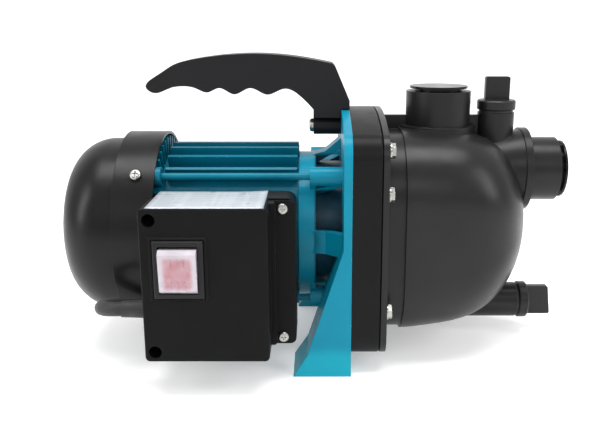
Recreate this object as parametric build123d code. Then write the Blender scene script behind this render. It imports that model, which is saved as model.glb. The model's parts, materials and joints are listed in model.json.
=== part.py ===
from build123d import *
import os
from math import cos, pi, radians, sin, sqrt, tan

# A self-priming garden and pool pump: a finned electric motor with a switch box on its
# side, bolted through a footed bracket to a plastic pump casing. Millimetres, +Z up.
# The shaft runs along X with the pump end at +X, and the switch box faces -Y.
# The origin is on the floor, midway between the two foot holes, below the shaft.

# ---- driving dimensions: overall ----
SHAFT_Z = 85.0            # shaft centre above the floor
RUN = 0.3                 # clearance between bodies that move past each other
SEAT = 0.05               # clearance of a piece seated in its own body

# ---- bracket plate, pump flange and casing flange share one outline ----
FLANGE_HALF = 80.0        # half the outline's width
FLANGE_BELOW = 74.0       # outline below the shaft
FLANGE_SIDE = 72.0        # straight sides end this far above the shaft
FLANGE_ABOVE = 85.3       # top of the outline above the shaft
FLANGE_CORNER = 16.0
PLATE_X = 14.5            # back face of the bracket plate
PLATE_T = 5.5
COVER_T = 19.5            # thick black back cover
CASE_FLANGE_T = 4.0
PLATE_HOLE_R = 34.0

# ---- feet ----
FOOT_FRONT = 20.0         # foot's end on the pump side, flush with the plate
FOOT_BACK = -18.5
FOOT_W = 35.0
FOOT_T = 5.0
FOOT_HOLE_R = 4.25
GUSSET_TOP = 1.5          # gusset meets the plate this far above the shaft
GUSSET_WALL = 5.0

# ---- motor ----
HOUSING_R = 48.5          # tube under the fins
HOUSING_BORE = 45.0
FIN_R = 60.2
FIN_T = 2.4
FIN_STEP = 12.5           # degrees between fins
FIN_COUNT = 4             # fins on each side of the top one, and the same below
HOUSING_BACK = -108.0
RING_BACK = -15.2         # back of the front bracket's ring
RING_FRONT = -3.5
RING_R = 53.0
BELL_R = 46.0
BOLT_CIRCLE_R = 61.5      # tie bolts
BOLT_ANGLE = 45.0
TIE_R = 2.5
LUG_R = 6.5
RIB_SIDE_W = 16.0         # ribs of the lantern at the top, bottom and sides
RIB_CORNER_W = 11.0       # ribs under the tie-bolt lugs
STATOR_R = 24.0
STATOR_LEN = 50.0
STATOR_MID = -62.0
AIR_GAP = 0.5

# ---- shaft and bearings (6201) ----
SHAFT_R = 6.0
BEARING_OUT = 16.0
BEARING_W = 10.0
BALL_R = 2.5
BALL_COUNT = 7
RACE_R = 11.0
REAR_BEARING_X = -118.0   # back face of the rear bearing
FRONT_BEARING_X = -11.0
SHAFT_BACK = -166.0

# ---- fan cover ----
HOOD_R = 63.0
HOOD_RING_R = 68.0
HOOD_WALL = 2.0
HOOD_END = -182.0
HOOD_STEP = -139.0
HOOD_OPEN = -111.5
HOOD_CORNER = 30.0
HOOD_SCREW_X = -124.0
HOOD_SCREW_ANGLE = 48.0

# ---- switch box ----
BOX_LEFT = -109.5
BOX_RIGHT = -16.0         # edge of the ledge
BOX_FRONT = -112.0
BOX_SPLIT = -83.0         # joint between base and cover
BOX_BACK = -62.0
BOX_TOP = 37.5
BOX_BOTTOM = -60.5
BOX_WALL = 2.5
LID_RIGHT = -32.0         # right side of the raised cover
LEDGE_T = 3.0
SWITCH_X = -86.0
SWITCH_Z = 0.0
FRAME_W = 36.0
FRAME_H = 41.0
BEZEL_W = 30.6
BEZEL_H = 36.6
ROCKER_W = 23.0
ROCKER_H = 28.0
ROCKER_TILT = 5.0         # degrees each way from the middle

# ---- pump casing ----
COLLAR_HALF = 67.0
BULGE_X = 56.0            # the bulge starts here
NOSE_X = 148.0
BULGE_HALF = 70.0
CASE_WALL = 4.5
CASE_MID = 4.0            # casing's middle above the shaft
PORT_R = 23.0             # outside of both ports
THREAD_R = 15.15          # bore of the 1 inch female threads
THREAD_LEN = 16.0
PORT_MOUTH_R = 17.0
MOUTH_DEPTH = 6.0
PORT_BORE_R = 13.0
OUTLET_X = 84.5
OUTLET_TOP = 97.7
INLET_Z = 41.0
INLET_END = 170.5
INLET_COLLAR_X = 144.0
INLET_COLLAR_R = 30.0
FILL_X = 126.5
FILL_TOP = 82.4
DRAIN_Z = -61.0
DRAIN_END = 148.0
SMALL_PORT_R = 13.0
PLUG_R = 8.0              # thread of the fill and drain plugs
PLUG_LEN = 12.0
PLUG_HEAD_R = 13.6
PLUG_HEAD_T = 7.0
PLUG_WING = 16.5
WASHER_T = 1.8

# ---- wet end ----
IMPELLER_R = 48.0
IMPELLER_BACK = 28.0
IMPELLER_FRONT = 37.0
GUIDE_R = 58.0
GUIDE_T = 4.0
VENTURI_END = 112.0
VANE_LEAN = 38.0          # degrees that the vanes lean back from the radius

# ---- handle ----
GRIP_W = 26.0
HANDLE_SEAT = -5.2        # face under the handle screw's head
HANDLE_BOLT_Z = 73.0      # handle screw above the shaft
HANDLE_BOSS_R = 6.6

# ---- mains lead ----
CORD_R = 4.5
EXIT = (BOX_LEFT, -95.0, 53.0)      # where the lead leaves the box, above the floor
RELIEF_OUT = 17.0                   # strain relief outside the box
COIL_MID = (-84.0, 141.0)
COIL_R = 50.0
COIL_TURNS_W = 19.0                 # width and height of the bundle of turns


# ---- helpers: everything but the lead is drawn with the shaft at Z = 0 ----
def rod(radius, x0, x1, y=0.0, z=0.0):
    return Pos((x0 + x1) / 2, y, z) * Rot(0, 90, 0) * Cylinder(radius, x1 - x0)


def pillar(radius, z0, z1, x=0.0, y=0.0):
    return Pos(x, y, (z0 + z1) / 2) * Cylinder(radius, z1 - z0)


def tube(outer, inner, x0, x1, y=0.0, z=0.0):
    return rod(outer, x0, x1, y, z) - rod(inner, x0 - 1, x1 + 1, y, z)


def block(x0, x1, y0, y1, z0, z1):
    middle = Pos((x0 + x1) / 2, (y0 + y1) / 2, (z0 + z1) / 2)
    return middle * Box(x1 - x0, y1 - y0, z1 - z0)


def around(shape, degrees):
    """Turned about the shaft, from the top towards the front."""
    return Rot(degrees, 0, 0) * shape


def spin(points):
    """A solid of revolution about the shaft from (x, radius) points."""
    return revolve(make_face(Plane.XZ * Polyline(*points, close=True)), Axis.X, 360)


def rounded_block(x0, x1, y0, y1, z0, z1, corner):
    """A block whose edges along Y are rounded."""
    shape = block(x0, x1, y0, y1, z0, z1)
    return fillet(shape.edges().filter_by(Axis.Y), corner)


def flange_face(grow=0.0):
    half = FLANGE_HALF + grow
    low = -FLANGE_BELOW - grow
    side = FLANGE_SIDE + grow
    top = FLANGE_ABOVE + grow
    sides = Polyline((-half, side), (-half, low), (half, low), (half, side))
    crown = ThreePointArc((half, side), (0, top), (-half, side))
    face = make_face(sides + crown)
    return fillet(face.vertices(), FLANGE_CORNER + grow)


def flange_slab(x0, thickness, grow=0.0):
    return extrude(Plane.YZ.offset(x0) * flange_face(grow), amount=thickness)


def pan_screw(head_r, head_t, shank_r, length):
    """Along Z: the head above Z = 0, the shank below it."""
    head = Pos(0, 0, head_t / 2) * Cylinder(head_r, head_t)
    head = fillet(head.edges().group_by(Axis.Z)[-1], head_t * 0.6)
    recess = Box(head_r, head_r * 0.22, head_t) + Box(head_r * 0.22, head_r, head_t)
    return head - Pos(0, 0, head_t) * recess + Pos(0, 0, -length / 2) * Cylinder(shank_r, length)


def hex_screw(head_r, head_t, shank_r, length):
    head = extrude(RegularPolygon(head_r, 6), amount=head_t)
    washer = Pos(0, 0, 0.6) * Cylinder(head_r * 1.05, 1.2)
    return head + washer + Pos(0, 0, -length / 2) * Cylinder(shank_r, length)


TIE_SPOTS = [
    (BOLT_CIRCLE_R * sin(radians(a)), BOLT_CIRCLE_R * cos(radians(a)))
    for a in (BOLT_ANGLE, 180 - BOLT_ANGLE, 180 + BOLT_ANGLE, -BOLT_ANGLE)
]
HOOD_SCREW_ANGLES = [
    HOOD_SCREW_ANGLE,
    180 - HOOD_SCREW_ANGLE,
    180 + HOOD_SCREW_ANGLE,
    -HOOD_SCREW_ANGLE,
]
PLATE_FRONT = PLATE_X + PLATE_T
COVER_FRONT = PLATE_FRONT + COVER_T
CASE_FRONT = COVER_FRONT + CASE_FLANGE_T
CASE_BOLT_SPOTS = [
    (side * (FLANGE_HALF - 6.8), z) for side in (-1, 1) for z in (66.0, 37.5, -42.5)
] + [(side * 30.0, -FLANGE_BELOW + 6.6) for side in (-1, 1)]
CASE_BOLT_R = 2.5
CASE_BOLT_HEAD_R = 5.0


# ---- motor ----
def motor_housing():
    shape = tube(HOUSING_R, HOUSING_BORE, HOUSING_BACK, RING_BACK)
    fin = block(HOUSING_BACK + 1, RING_BACK - 1, -FIN_T / 2, FIN_T / 2, HOUSING_R - 1.5, FIN_R)
    steps = [k * FIN_STEP for k in range(-FIN_COUNT, FIN_COUNT + 1)]
    steps = [a for a in steps if abs(abs(a) - BOLT_ANGLE) > 5.0]
    for a in steps:
        shape += around(fin, a)
        shape += around(fin, a + 180)
    back = [BOLT_ANGLE + FIN_STEP * k for k in range(1, 7)]
    for a in back:
        if abs(a - (180 - BOLT_ANGLE)) > 5.0:
            shape += around(fin, -a)
    pad = block(-100, -26, BOX_BACK, -HOUSING_BORE + 6, -33, 33)
    window = block(-80, -46, BOX_BACK - 1, -HOUSING_BORE + 8, -16, 16)
    shape += pad - rod(HOUSING_BORE + 1, HOUSING_BACK, RING_BACK)
    return shape - window


def rear_shield():
    shape = tube(50, 34, -112, HOUSING_BACK) + tube(46.5, 34, -120, -112)
    shape += tube(34.5, 21, -113, -109)
    bearing_end = REAR_BEARING_X + BEARING_W
    shape += tube(22, BEARING_OUT, REAR_BEARING_X, bearing_end)
    shape += tube(22, SHAFT_R + 2, bearing_end, bearing_end + 2)
    vane = block(-120, -110.5, -0.9, 0.9, 45, 64.5)
    for k in range(48):
        if min(abs((k * 7.5 - s) % 360) for s in (45, 135, 225, 315)) > 9:
            shape += around(vane, k * 7.5 + 3.75)
    for a in HOOD_SCREW_ANGLES:
        arm = block(-119.5, HOUSING_BACK, -7, 7, 45, 56)
        post = block(-130, -119.5, -4.5, 4.5, 50, HOOD_RING_R)
        post &= rod(HOOD_RING_R - HOOD_WALL - SEAT, -131, -118)
        arm = arm + post - pillar(1.9, 55, 70, HOOD_SCREW_X)
        shape += around(arm, a)
    for y, z in TIE_SPOTS:
        shape += rod(LUG_R, -113, HOUSING_BACK, y, z)
    for a in (45, 135, 225, 315):
        shape += around(block(-113, HOUSING_BACK, -5, 5, 46, 60), a)
    for y, z in TIE_SPOTS:
        shape -= rod(TIE_R + SEAT, -131, HOUSING_BACK + 1, y, z)
        shape -= rod(5.0, -140, -113, y, z)
    shape -= tube(90, HOOD_RING_R - HOOD_WALL - SEAT, -140, HOOD_OPEN + SEAT)
    return shape + tube(HOUSING_BORE - SEAT, 41, HOUSING_BACK - 1, HOUSING_BACK + 4)


def fan_cover():
    outer = [
        (HOOD_END, 0), (HOOD_END + 3.5, HOOD_R), (HOOD_STEP, HOOD_R),
        (HOOD_STEP, HOOD_RING_R), (HOOD_OPEN, HOOD_RING_R), (HOOD_OPEN, 0),
    ]
    w = HOOD_WALL
    inner = [
        (HOOD_END + w, 0), (HOOD_END + 3.5 + w, HOOD_R - w), (HOOD_STEP + w, HOOD_R - w),
        (HOOD_STEP + w, HOOD_RING_R - w), (HOOD_OPEN + 1, HOOD_RING_R - w), (HOOD_OPEN + 1, 0),
    ]
    solids = []
    for points, corner in ((outer, HOOD_CORNER), (inner, HOOD_CORNER - w)):
        face = make_face(Polyline(*points, close=True))
        dome = face.vertices().sort_by(Axis.X)[1]
        face = fillet(dome, corner)
        solids.append(revolve(Plane.XZ * face, Axis.X, 360))
    shape = solids[0] - solids[1]
    slot = block(HOOD_END - 2, HOOD_END + 8, -1.6, 1.6, 14, 30)
    for k in range(18):
        shape -= around(slot, k * 20)
    for a in HOOD_SCREW_ANGLES:
        shape -= around(pillar(2.1, 60, 72, HOOD_SCREW_X), a)
    return shape


def fan_cover_screws():
    screw = Pos(HOOD_SCREW_X, 0, HOOD_RING_R) * pan_screw(4.0, 2.6, 1.85, 12)
    return [around(screw, a) for a in HOOD_SCREW_ANGLES]


def tie_bolts():
    bolts = []
    for y, z in TIE_SPOTS:
        bolt = rod(TIE_R, -113, 8.0, y, z)
        bolt += Pos(-116.5, y, z) * Rot(0, 90, 0) * extrude(RegularPolygon(4.2, 6), amount=3.5)
        bolts.append(bolt)
    return bolts


def front_bracket():
    shape = tube(RING_R, 46.0, RING_BACK, RING_FRONT)
    shape += tube(RING_R, 41, RING_BACK, RING_BACK + 3)
    shape += tube(HOUSING_BORE - SEAT, 41, RING_BACK - 4, RING_BACK + 1)
    shape += tube(46.5, 20, RING_FRONT - 4, RING_FRONT)
    shape += tube(22, BEARING_OUT, FRONT_BEARING_X, -1) + tube(22, SHAFT_R + 2, -1, 2)
    shape += flange_slab(PLATE_X, PLATE_T) - rod(PLATE_HOLE_R, PLATE_X - 1, PLATE_FRONT + 1)
    # a bell closes the space round the shaft, with a drain slot below
    shape += tube(BELL_R, BELL_R - 3, RING_FRONT - 1, PLATE_X + 1)
    shape -= block(1, 10, -8, 8, -BELL_R - 2, -BELL_R + 6)
    # curved ribs carry the plate off the ring
    curve = make_face(Polyline(
        (RING_FRONT - 3, 47), (RING_FRONT - 3, RING_R - 0.5), (3, 55), (9, 60),
        (PLATE_X + 1, 65.5), (PLATE_X + 1, 58), (9, 53.5), (2, 49.5), (-2, 47), close=True,
    ))
    for a in (0, 45, 90, 135, 180, 225, 270, 315):
        width = RIB_CORNER_W if a % 90 else RIB_SIDE_W
        shape += around(extrude(Plane.XZ * curve, amount=width / 2, both=True), a)
    shape += foot(-1) + foot(1)
    # a lug for each tie bolt
    for y, z in TIE_SPOTS:
        shape += rod(LUG_R, -7.5, PLATE_X + 1, y, z)
        shape -= rod(TIE_R + SEAT, -8, 9.0, y, z)
    for a in (45, 135, 225, 315):
        shape += around(block(-7.5, RING_FRONT, -5, 5, 48, 58), a)
    shape -= rod(3.1, PLATE_X - 1, PLATE_FRONT + 1, 0, HANDLE_BOLT_Z)
    for y, z in CASE_BOLT_SPOTS:
        shape -= rod(CASE_BOLT_R, PLATE_X - 1, PLATE_FRONT + 1, y, z)
    return shape


def foot(side):
    """A hollow gusset, open towards the middle, on a flat pad with one hole."""
    outer = [
        (FOOT_BACK, -SHAFT_Z), (FOOT_FRONT, -SHAFT_Z), (FOOT_FRONT, GUSSET_TOP),
        (PLATE_X, GUSSET_TOP), (FOOT_BACK + 9.5, -SHAFT_Z + 14),
    ]
    w = GUSSET_WALL
    inner = [
        (FOOT_BACK + w + 3, -SHAFT_Z + FOOT_T), (FOOT_FRONT - PLATE_T, -SHAFT_Z + FOOT_T),
        (FOOT_FRONT - PLATE_T, GUSSET_TOP - 22), (FOOT_BACK + 9.5 + w, -SHAFT_Z + 14),
    ]
    near = FLANGE_HALF - FOOT_W
    solid = extrude(Plane.XZ.offset(-near) * make_face(Polyline(*outer, close=True)), amount=-FOOT_W)
    hollow = extrude(
        Plane.XZ.offset(-near + 1) * make_face(Polyline(*inner, close=True)),
        amount=-(FOOT_W - w + 1),
    )
    toe = make_face(Polyline(
        (FLANGE_HALF - 3, -SHAFT_Z), (FLANGE_HALF + 3, -SHAFT_Z),
        (FLANGE_HALF, -SHAFT_Z + 15), (FLANGE_HALF - 3, -SHAFT_Z + 15), close=True,
    ))
    toe = extrude(Plane.YZ.offset(FOOT_BACK) * toe, amount=FOOT_FRONT - FOOT_BACK)
    lean = block(-40, FOOT_FRONT, 0, 100, -SHAFT_Z, 0) - extrude(
        Plane.XZ * make_face(Polyline(
            (FOOT_BACK, -SHAFT_Z), (-60, -SHAFT_Z), (-60, -SHAFT_Z + 15),
            (FOOT_BACK + 10.2, -SHAFT_Z + 15), close=True,
        )), amount=-110,
    )
    solid = solid - hollow + (toe & lean)
    solid -= pillar(FOOT_HOLE_R, -SHAFT_Z - 1, -SHAFT_Z + FOOT_T + 1, 0, FLANGE_HALF - FOOT_W / 2)
    return solid if side > 0 else mirror(solid, Plane.XZ)


def stator_core():
    return tube(
        HOUSING_BORE - SEAT, STATOR_R, STATOR_MID - STATOR_LEN / 2, STATOR_MID + STATOR_LEN / 2
    )


def stator_windings():
    ends = []
    for side in (-1, 1):
        x = STATOR_MID + side * STATOR_LEN / 2
        x0, x1 = sorted((x, x + side * 13))
        ring = tube(41, 28, x0, x1)
        outer = ring.edges().group_by(Axis.X)[0 if side < 0 else -1]
        ends.append(fillet(outer, 4.5))
    return ends


def bearing_places():
    return (REAR_BEARING_X, FRONT_BEARING_X)


def bearing_outer_rings():
    return [
        tube(BEARING_OUT - SEAT / 2, RACE_R + BALL_R - 0.3, x, x + BEARING_W)
        - around_groove(x + BEARING_W / 2) for x in bearing_places()
    ]


def around_groove(x):
    return Pos(x, 0, 0) * Rot(0, 90, 0) * Torus(RACE_R, BALL_R + SEAT)


def bearing_inner_rings():
    return [
        tube(RACE_R - BALL_R + 0.3, SHAFT_R + SEAT / 2, x, x + BEARING_W)
        - around_groove(x + BEARING_W / 2) for x in bearing_places()
    ]


def bearing_balls():
    balls = []
    for x in bearing_places():
        for k in range(BALL_COUNT):
            ball = Pos(x + BEARING_W / 2, 0, RACE_R) * Sphere(BALL_R)
            balls.append(around(ball, 360 / BALL_COUNT * k))
    return balls


def rotor_shaft():
    shaft = rod(SHAFT_R, SHAFT_BACK, IMPELLER_BACK - 0.5)
    shaft += rod(8.0, REAR_BEARING_X + BEARING_W, FRONT_BEARING_X)
    shaft += rod(4.0, IMPELLER_BACK - 1, IMPELLER_FRONT + 7)
    return shaft


def rotor_core():
    half = STATOR_LEN / 2
    core = tube(STATOR_R - AIR_GAP, 8.0 + SEAT, STATOR_MID - half, STATOR_MID + half)
    for side in (-1, 1):
        x0, x1 = sorted((STATOR_MID + side * half, STATOR_MID + side * (half + 6)))
        core += tube(21, 13, x0, x1)
    return core


def cooling_fan():
    fan = tube(11, SHAFT_R + SEAT, -163, -145) + tube(52, 10, -147, -144.5)
    blade = block(-166, -146, -1, 1, 10, 52)
    for k in range(9):
        fan += around(blade, 40 * k)
    return fan - rod(SHAFT_R + SEAT, -170, -140)


def fan_clip():
    return tube(9.5, SHAFT_R + SEAT, -164.4, -163)


def water_slinger():
    return tube(13, SHAFT_R + SEAT, 4, 6) + tube(8.5, SHAFT_R + SEAT, 4, 9)


# ---- pump end ----
def back_cover():
    shape = flange_slab(PLATE_FRONT, COVER_T)
    shape = fillet(shape.edges().group_by(Axis.X)[-1], 2.0)
    shape += rod(22, PLATE_FRONT - 9, PLATE_FRONT + 2)
    shape += tube(PLATE_HOLE_R - SEAT, 21, PLATE_FRONT - 4, PLATE_FRONT + 1)
    shape -= rod(GUIDE_R + SEAT, IMPELLER_BACK - 1.5, COVER_FRONT + 1)
    shape -= rod(14, PLATE_FRONT - 6, IMPELLER_BACK)
    shape -= rod(SHAFT_R + 1, PLATE_FRONT - 12, IMPELLER_BACK)
    for y, z in CASE_BOLT_SPOTS:
        shape -= rod(CASE_BOLT_R + 0.2, PLATE_FRONT - 1, COVER_FRONT + 1, y, z)
    return shape


def seal_seat():
    return tube(14 - SEAT, SHAFT_R + 0.8, PLATE_FRONT - 6, PLATE_FRONT - 1)


def seal_face():
    return tube(11.5, SHAFT_R + SEAT, PLATE_FRONT - 0.95, PLATE_FRONT + 2.5)


def seal_spring():
    spring = tube(10.5, 8.0, PLATE_FRONT + 2.5, IMPELLER_BACK - 0.5)
    for k in range(2):
        x = PLATE_FRONT + 3.6 + 2.2 * k
        spring -= tube(11, 9.6, x, x + 1.0)
    return spring


def impeller():
    shape = tube(IMPELLER_R, 4 + SEAT, IMPELLER_BACK, IMPELLER_BACK + 2)
    shape += tube(IMPELLER_R, 15, IMPELLER_FRONT - 1.6, IMPELLER_FRONT)
    shape += tube(11, 4 + SEAT, IMPELLER_BACK - 0.5, IMPELLER_FRONT)
    vane = swept_vane(IMPELLER_BACK + 1, IMPELLER_FRONT - 1, 15, IMPELLER_R - 0.5, 2.4)
    for k in range(6):
        shape += around(vane, 60 * k)
    return shape


def swept_vane(x0, x1, inner, outer, thickness):
    """A vane that leans back from the radius, between two radii."""
    lean = Pos(0, 0, inner) * Rot(VANE_LEAN, 0, 0)
    reach = sqrt(outer ** 2 - (inner * sin(radians(VANE_LEAN))) ** 2) - inner * cos(radians(VANE_LEAN))
    return lean * block(x0, x1, -thickness / 2, thickness / 2, 0, reach - thickness / 2)


def impeller_nut():
    nut = extrude(RegularPolygon(7.5, 6), amount=6)
    return Pos(IMPELLER_FRONT, 0, 0) * Rot(0, 90, 0) * (nut - Cylinder(4 + SEAT, 20))


def guide_wheel():
    back = COVER_FRONT - 1.5
    shape = tube(GUIDE_R, 15, back, back + GUIDE_T)
    shape += tube(18, 15, back, back + 16)
    vane = swept_vane(back + GUIDE_T - 1, back + 12, 21.5, GUIDE_R - 4, 2.2)
    for k in range(8):
        shape += around(vane, 45 * k)
    return shape


def venturi_tube():
    start = COVER_FRONT - 1.5 + 16
    return spin([
        (start, 15 + SEAT), (start, 18), (start + 6, 18), (VENTURI_END - 24, 9),
        (VENTURI_END, 11), (VENTURI_END, 8.5), (VENTURI_END - 24, 6.5), (start + 6, 14),
    ]) + tube(20, 18 + SEAT, start - 6, start) + tube(20, 17.5, start, start + 2)


def jet_nozzle():
    tip = spin([
        (VENTURI_END + 3, 4), (VENTURI_END + 3, 6), (VENTURI_END + 20, 10),
        (NOSE_X - CASE_WALL - 8, 10), (NOSE_X - CASE_WALL - 8, 7), (VENTURI_END + 20, 7),
    ])
    return tip


def hull_wire(x, side, low, high, roundness):
    width = 2 * side
    height = high - low
    corner = min(width, height) / 2 * roundness
    middle = (high + low) / 2
    return (Plane.YZ.offset(x) * Pos(0, middle) * RectangleRounded(width, height, corner)).wire()


def bulge(inset):
    """The smooth belly: rounded squares that close up towards the nose."""
    start = BULGE_X if inset == 0 else BULGE_X - 8
    length = NOSE_X - BULGE_X - inset
    wires = []
    for t in (0.0, 0.25, 0.5, 0.68, 0.8, 0.89, 0.95, 0.98, 0.995):
        x = BULGE_X + t * length if t else start
        shrink = sqrt(1 - t ** 4)
        side = (BULGE_HALF - inset) * shrink
        low = CASE_MID - (74.0 - 9.0 * t - inset) * shrink
        high = CASE_MID + (68.0 - inset) * shrink
        wires.append(hull_wire(x, side, low, high, 0.64 + 0.33 * t ** 3))
    return Solid.make_loft(wires)


def collar(inset, x0, x1):
    face = Pos(0, CASE_MID - 3) * RectangleRounded(
        2 * (COLLAR_HALF - inset), 2 * (69.5 - inset), 42 - inset
    )
    return extrude(Plane.YZ.offset(x0) * face, amount=x1 - x0)


def port_cut_z(x, top):
    cut = pillar(PORT_MOUTH_R, top - MOUTH_DEPTH, top + 1, x)
    cut += pillar(THREAD_R, top - MOUTH_DEPTH - THREAD_LEN, top, x)
    return cut + pillar(PORT_BORE_R, top - 50, top - 2, x)


def pump_casing():
    shape = flange_slab(COVER_FRONT, CASE_FLANGE_T)
    shape += collar(0, CASE_FRONT - 1, BULGE_X + 6)
    shape += bulge(0)
    shape += pillar(PORT_R, 50, OUTLET_TOP, OUTLET_X)
    shape += pillar(PORT_R + 4, 50, 73.5, OUTLET_X)
    shape += pillar(SMALL_PORT_R, 40, FILL_TOP, FILL_X)
    shape += rod(PORT_R, 120, INLET_END, 0, INLET_Z)
    shape += rod(INLET_COLLAR_R, INLET_COLLAR_X, INLET_COLLAR_X + 5, 0, INLET_Z)
    cone = Solid.make_cone(
        21, INLET_COLLAR_R - 1, 36, Plane(origin=(INLET_COLLAR_X - 35, 0, INLET_Z), z_dir=(1, 0, 0))
    )
    shape += cone
    shape += rod(SMALL_PORT_R, 100, DRAIN_END, 0, DRAIN_Z)
    shape += block(CASE_FRONT - 1, FILL_X, -2, 2, 40, 80.5)
    # hollow inside
    shape -= collar(CASE_WALL, COVER_FRONT - 1, BULGE_X + 2)
    shape -= bulge(CASE_WALL)
    shape -= port_cut_z(OUTLET_X, OUTLET_TOP)
    inlet = Pos(0, 0, INLET_Z) * Rot(0, 90, 0) * port_cut_z(0, INLET_END)
    shape -= inlet
    shape -= pillar(PLUG_R + RUN, 50, FILL_TOP + 1, FILL_X)
    shape -= rod(PLUG_R + RUN, 95, DRAIN_END + 1, 0, DRAIN_Z)
    for y, z in CASE_BOLT_SPOTS:
        shape -= rod(CASE_BOLT_R + 0.2, COVER_FRONT - 1, CASE_FRONT + 1, y, z)
        shape -= rod(CASE_BOLT_HEAD_R + 0.8, CASE_FRONT, CASE_FRONT + 12, y, z)
    # boss that holds the jet nozzle
    boss = tube(12.4, 10 + SEAT, NOSE_X - CASE_WALL - 22, NOSE_X - 3)
    return shape + boss


def casing_bolts():
    bolt = hex_screw(CASE_BOLT_HEAD_R, 3.6, CASE_BOLT_R - SEAT, CASE_FRONT - PLATE_X)
    return [Pos(CASE_FRONT, y, z) * Rot(0, 90, 0) * bolt for y, z in CASE_BOLT_SPOTS]


def transit_cap():
    """Pushed into a port's mouth along -Z, its disc at Z = 2 to 3.6."""
    disc = Pos(0, 0, 2.8) * Cylinder(20.5, 1.6)
    neck = Pos(0, 0, -1.2) * Cylinder(PORT_MOUTH_R - RUN, 6.5)
    cup = Pos(0, 0, 0.5) * Cylinder(PORT_MOUTH_R - RUN - 2, 8)
    return disc + (neck - cup)


def discharge_cap():
    return Pos(OUTLET_X, 0, OUTLET_TOP) * transit_cap()


def suction_cap():
    return Pos(INLET_END + 1.5, 0, INLET_Z) * Rot(0, 90, 0) * transit_cap()


def screw_plug(half, slant):
    """A winged plug along Z: its washer sits on Z = 0. half is half the wing's width."""
    shape = Pos(0, 0, WASHER_T + PLUG_HEAD_T / 2) * Cylinder(PLUG_HEAD_R, PLUG_HEAD_T)
    shape = chamfer(shape.edges().filter_by(GeomType.CIRCLE), 0.8)
    top = WASHER_T + PLUG_HEAD_T
    wing = make_face(Polyline(
        (-half, top - 1), (half, top - 1), (half, top + PLUG_WING - slant), (-half, top + PLUG_WING),
        close=True,
    ))
    wing = extrude(Plane.XZ * fillet(wing.vertices().group_by(Axis.Y)[-2:], 1.4), 2.6, both=True)
    shank = Pos(0, 0, WASHER_T - (PLUG_LEN + WASHER_T) / 2) * Cylinder(PLUG_R, PLUG_LEN + WASHER_T)
    return shape + wing + shank


def plug_washer():
    washer = Cylinder(PLUG_HEAD_R - 1.6, WASHER_T) - Cylinder(PLUG_R + RUN, WASHER_T + 1)
    return Pos(0, 0, WASHER_T / 2) * washer


FILL_PLACE = Pos(FILL_X, 0, FILL_TOP)
DRAIN_PLACE = Pos(DRAIN_END, 0, DRAIN_Z) * Rot(0, 90, 0)


# ---- handle ----
def handle():
    under = Spline(
        (-119.7, 97.9), (-115.8, 96.9), (-106.5, 100.1), (-97.4, 101.7), (-87.4, 100.1),
        (-79.5, 97.4), (-71.3, 100.4), (-60.8, 96.1), (-49.7, 100.4), (-37.7, 95.9),
        (-26.0, 99.9), (-12.0, 92.6), (HANDLE_SEAT, 85.4),
    )
    foot_z = HANDLE_BOLT_Z - HANDLE_BOSS_R
    base = Polyline(
        (HANDLE_SEAT, 85.4), (HANDLE_SEAT, foot_z), (PLATE_X, foot_z), (PLATE_X, FLANGE_ABOVE + SEAT),
        (20.3, FLANGE_ABOVE + SEAT), (20.3, 91.6),
    )
    back = Polyline((20.3, 91.6), (10.1, 115.4), (8.1, 117.4))
    top = Spline(
        (8.1, 117.4), (-8.8, 120.6), (-28.8, 123.2), (-48.6, 124.0), (-68.6, 123.0),
        (-88.6, 120.3), (-101.7, 116.9), (-113.1, 110.0), (-122.6, 101.1), (-119.7, 97.9),
    )
    outline = make_face(under + base + back + top)
    grip = extrude(Plane.XZ * outline, amount=GRIP_W / 2, both=True)
    top = HANDLE_BOLT_Z + HANDLE_BOSS_R
    waist = block(-8, PLATE_X, -GRIP_W, GRIP_W, 60, top) - rod(HANDLE_BOSS_R, -9, PLATE_X + 1, 0, HANDLE_BOLT_Z)
    grip -= waist - block(-9, PLATE_X + 1, -2, 2, HANDLE_BOLT_Z, top + 1)
    return grip - rod(3.1, -10, PLATE_X + 1, 0, HANDLE_BOLT_Z)


def handle_screw():
    screw = pan_screw(4.8, 3.0, 3.0 - SEAT, PLATE_FRONT - 0.5 - HANDLE_SEAT)
    return Pos(HANDLE_SEAT, 0, HANDLE_BOLT_Z) * Rot(0, -90, 0) * screw


# ---- switch box ----
def box_base():
    shape = rounded_block(BOX_LEFT, BOX_RIGHT, BOX_SPLIT, BOX_BACK, BOX_BOTTOM, BOX_TOP, 6)
    w = BOX_WALL
    shape -= rounded_block(
        BOX_LEFT + w, BOX_RIGHT - w, BOX_SPLIT - 1, BOX_BACK - w, BOX_BOTTOM + w, BOX_TOP - w, 4
    )
    for x, z in LEDGE_SPOTS + WELL_SPOTS:
        shape += rod_y(4.2, BOX_SPLIT, BOX_BACK - 1, x, z)
        shape -= rod_y(1.7, BOX_SPLIT - 1, BOX_SPLIT + 14, x, z)
    return shape - block(-80, -46, BOX_BACK - w - 1, BOX_BACK + 1, -16, 16)


def rod_y(radius, y0, y1, x, z):
    return Pos(x, (y0 + y1) / 2, z) * Rot(90, 0, 0) * Cylinder(radius, y1 - y0)


LEDGE_SPOTS = [(-24.4, 31.5), (-24.4, -54.5)]
WELL_SPOTS = [(-103.0, 30.5), (-103.0, -54.0)]
WELL_R = 4.0


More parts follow.
